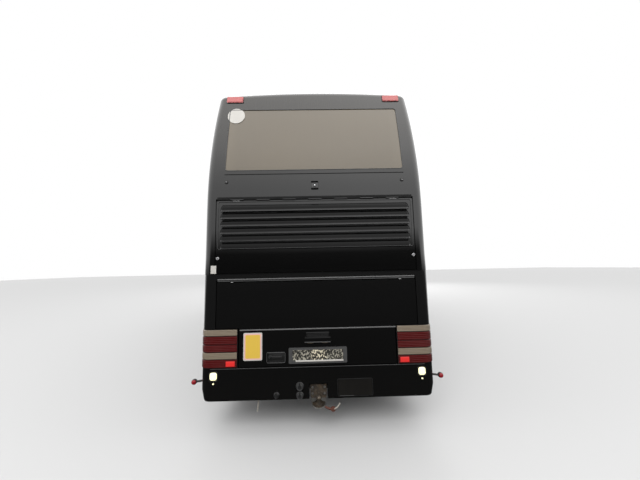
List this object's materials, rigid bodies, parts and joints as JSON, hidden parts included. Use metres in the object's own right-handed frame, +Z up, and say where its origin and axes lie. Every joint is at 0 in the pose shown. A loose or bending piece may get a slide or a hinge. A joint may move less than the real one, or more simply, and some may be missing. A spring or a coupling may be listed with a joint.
{
  "type": "coach bus",
  "caption": "Black double-deck touring coach with a louvred engine flap, tall rear window, stacked tail lamps, steered front wheels and outward swinging doors.",
  "frame": {"origin": "on the road, in the middle of the coach's length and width as measured over the mirrors and the towing ball", "axes": "+Y forwards, +X to the coach's right-hand (door) side, +Z up"},
  "size_m": [2.89, 12.223, 3.971],
  "materials": {
    "body_black": "high gloss",
    "bumper_black": "high gloss",
    "hatch_white": "matt",
    "window_glass": "tinted",
    "lamp_clear": "clear",
    "lamp_red": "gloss",
    "trim_plastic": "satin",
    "dash_plastic": "matt",
    "seat_fabric": "woven",
    "floor_lining": "matt",
    "panel_grey": "matt",
    "undercoat": "matt",
    "chassis_black": "satin",
    "cast_metal": "rough",
    "bare_steel": "satin",
    "coupling_brown": "worn",
    "wheel_silver": "satin",
    "tyre_rubber": "matt"
  },
  "bodies": {
    "coach_body": {"left_lower_wall": "body_black", "right_lower_wall": "body_black", "left_upper_wall": "body_black", "right_upper_wall": "body_black", "roof": "body_black", "roof_hatches": "hatch_white", "front_frame": "body_black", "front_bumper": "bumper_black", "front_lamps": "lamp_clear", "windscreens": "window_glass", "side_windows": "window_glass", "rear_window": "window_glass", "rear_frame": "body_black", "rear_bumper": "bumper_black", "rear_lamps": "lamp_red", "lower_floor": "floor_lining", "upper_floor": "floor_lining", "bulkheads": "panel_grey", "wheel_tunnels": "undercoat", "stairs": "floor_lining", "seats": "seat_fabric", "dashboard": "dash_plastic", "steering_wheel": "trim_plastic", "underframe": "chassis_black", "engine_block": "cast_metal", "exhaust": "bare_steel", "tow_coupling": "coupling_brown", "mirrors": "trim_plastic", "wipers": "trim_plastic", "tag_axle": "cast_metal", "drive_axle": "cast_metal", "front_axle": "cast_metal"},
    "left_steering": {"left_knuckle": "cast_metal"},
    "right_steering": {"right_knuckle": "cast_metal"},
    "engine_lid_body": {"engine_lid": "body_black"},
    "grille_flap_body": {"grille_flap": "body_black"},
    "left_flap_body": {"left_flap": "body_black"},
    "right_flap_body": {"right_flap": "body_black"},
    "front_door_linkage": {"front_door_arms": "bare_steel"},
    "front_door_leaf": {"front_door": "body_black", "front_door_glass": "window_glass"},
    "middle_door_linkage": {"middle_door_arms": "bare_steel"},
    "middle_door_leaf": {"middle_door": "body_black", "middle_door_glass": "window_glass"},
    "tag_left_wheel": {"tag_left_tyre": "tyre_rubber", "tag_left_rim": "wheel_silver"},
    "tag_right_wheel": {"tag_right_tyre": "tyre_rubber", "tag_right_rim": "wheel_silver"},
    "drive_left_wheel": {"drive_left_tyre": "tyre_rubber", "drive_left_rim": "wheel_silver"},
    "drive_right_wheel": {"drive_right_tyre": "tyre_rubber", "drive_right_rim": "wheel_silver"},
    "front_left_wheel": {"front_left_tyre": "tyre_rubber", "front_left_rim": "wheel_silver"},
    "front_right_wheel": {"front_right_tyre": "tyre_rubber", "front_right_rim": "wheel_silver"}
  },
  "joints": [
    {"name": "left_steer", "type": "hinge", "parent": "coach_body", "child": "left_steering", "pos_m": [-0.88, 3.2315, 0.522], "axis": [0, 0, 1], "range_deg": [-40, 40]},
    {"name": "tag_left_roll", "type": "hinge", "parent": "coach_body", "child": "tag_left_wheel", "pos_m": [-1.03, -3.6185, 0.522], "axis": [-1, 0, 0], "continuous": true},
    {"name": "drive_left_roll", "type": "hinge", "parent": "coach_body", "child": "drive_left_wheel", "pos_m": [-0.915, -2.2685, 0.522], "axis": [-1, 0, 0], "continuous": true},
    {"name": "front_left_roll", "type": "hinge", "parent": "left_steering", "child": "front_left_wheel", "pos_m": [-1.03, 3.2315, 0.522], "axis": [-1, 0, 0], "continuous": true},
    {"name": "right_steer", "type": "hinge", "parent": "coach_body", "child": "right_steering", "pos_m": [0.88, 3.2315, 0.522], "axis": [0, 0, 1], "range_deg": [-40, 40]},
    {"name": "tag_right_roll", "type": "hinge", "parent": "coach_body", "child": "tag_right_wheel", "pos_m": [1.03, -3.6185, 0.522], "axis": [-1, 0, 0], "continuous": true},
    {"name": "drive_right_roll", "type": "hinge", "parent": "coach_body", "child": "drive_right_wheel", "pos_m": [0.915, -2.2685, 0.522], "axis": [-1, 0, 0], "continuous": true},
    {"name": "front_right_roll", "type": "hinge", "parent": "right_steering", "child": "front_right_wheel", "pos_m": [1.03, 3.2315, 0.522], "axis": [-1, 0, 0], "continuous": true},
    {"name": "front_door_swing", "type": "hinge", "parent": "coach_body", "child": "front_door_linkage", "pos_m": [1.15, 4.7515, 0.64], "axis": [0, 0, 1], "range_deg": [0, 132]},
    {"name": "front_door_level", "type": "hinge", "parent": "front_door_linkage", "child": "front_door_leaf", "pos_m": [1.15, 4.2315, 0.64], "axis": [0, 0, 1], "range_deg": [-132, 0]},
    {"name": "middle_door_swing", "type": "hinge", "parent": "coach_body", "child": "middle_door_linkage", "pos_m": [1.15, -0.5085, 0.64], "axis": [0, 0, 1], "range_deg": [0, 132]},
    {"name": "middle_door_level", "type": "hinge", "parent": "middle_door_linkage", "child": "middle_door_leaf", "pos_m": [1.15, -1.0285, 0.64], "axis": [0, 0, 1], "range_deg": [-132, 0]},
    {"name": "engine_lid_lift", "type": "hinge", "parent": "coach_body", "child": "engine_lid_body", "pos_m": [0, -6.0685, 1.612], "axis": [-1, 0, 0], "range_deg": [0, 80]},
    {"name": "grille_flap_lift", "type": "hinge", "parent": "coach_body", "child": "grille_flap_body", "pos_m": [0, -6.0685, 2.522], "axis": [-1, 0, 0], "range_deg": [0, 80]},
    {"name": "left_flap_lift", "type": "hinge", "parent": "coach_body", "child": "left_flap_body", "pos_m": [-1.25, -4.9585, 1.563], "axis": [0, 1, 0], "range_deg": [0, 80]},
    {"name": "right_flap_lift", "type": "hinge", "parent": "coach_body", "child": "right_flap_body", "pos_m": [1.25, -4.9585, 1.563], "axis": [0, -1, 0], "range_deg": [0, 80]}
  ],
  "couplings": [
    {"joint": "right_steer", "follows": "left_steer", "ratio": 1},
    {"joint": "front_door_level", "follows": "front_door_swing", "ratio": -1},
    {"joint": "middle_door_level", "follows": "middle_door_swing", "ratio": -1}
  ]
}
